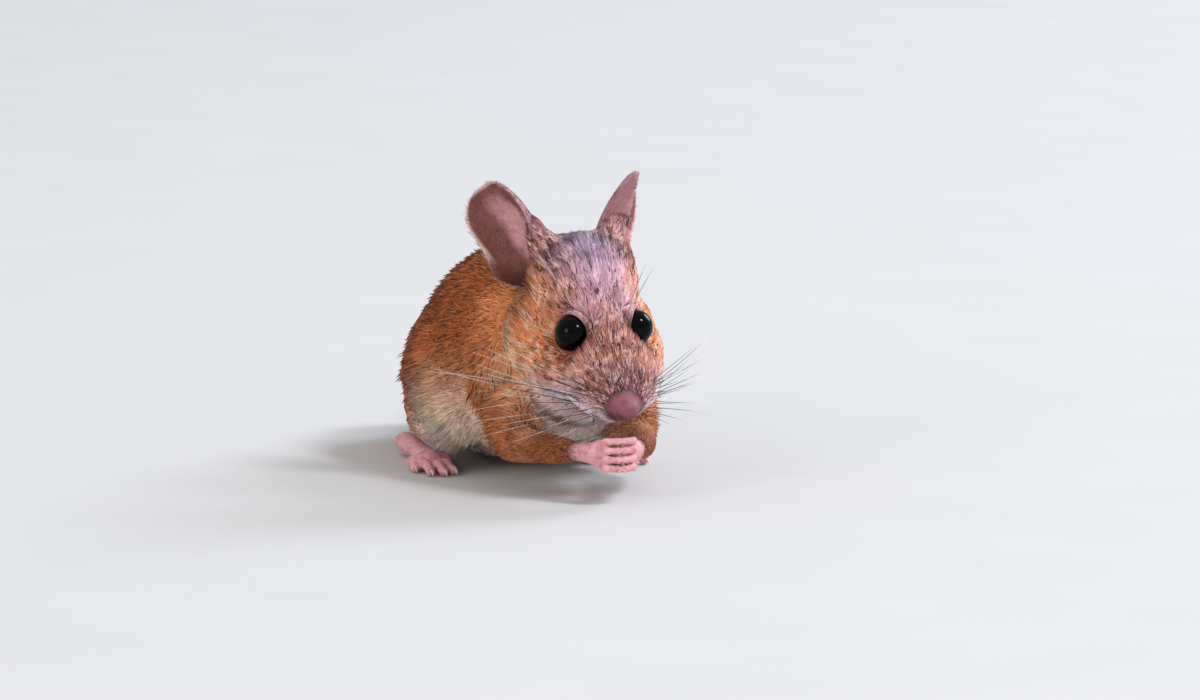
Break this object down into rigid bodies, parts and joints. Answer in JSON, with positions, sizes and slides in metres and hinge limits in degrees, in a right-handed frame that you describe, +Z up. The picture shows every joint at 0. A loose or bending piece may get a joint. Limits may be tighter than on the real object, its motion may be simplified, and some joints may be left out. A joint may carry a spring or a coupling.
{
  "type": "field mouse",
  "caption": "Life-size still model of a field mouse, crouching with its head bent down and its hands held together at its mouth, tail laid on the floor.",
  "frame": {"origin": "on the floor, under the middle of the model's bounding box", "axes": "+Z up; -Y the way the mouse faces, so +Y runs from its nose to its tail; +X its left"},
  "size_m": [0.0652, 0.1366, 0.0409],
  "materials": {
    "coat": "short soft orange-brown fur",
    "face": "short fine fur",
    "pale": "short pale fur",
    "skin": "soft pink skin",
    "ear": "thin skin with fine down",
    "tail": "fine rings with sparse short hairs",
    "eye": "wet gloss"
  },
  "bodies": {
    "root": {"eye_left": "eye", "eye_right": "eye", "ear_left": "ear", "ear_right": "ear", "nose": "skin", "lower_jaw": "pale", "muzzle": "face", "head": "face", "hand_left": "skin", "hand_right": "skin", "foot_left": "skin", "foot_right": "skin", "tail_1": "tail", "tail_2": "tail", "tail_3": "tail", "tail_4": "tail", "forearm_left": "pale", "forearm_right": "pale", "upper_arm_left": "coat", "upper_arm_right": "coat", "thigh_left": "coat", "thigh_right": "coat", "lower_leg_left": "coat", "lower_leg_right": "coat", "neck": "coat", "chest": "coat", "belly": "coat", "rump": "coat"}
  },
  "joints": []
}
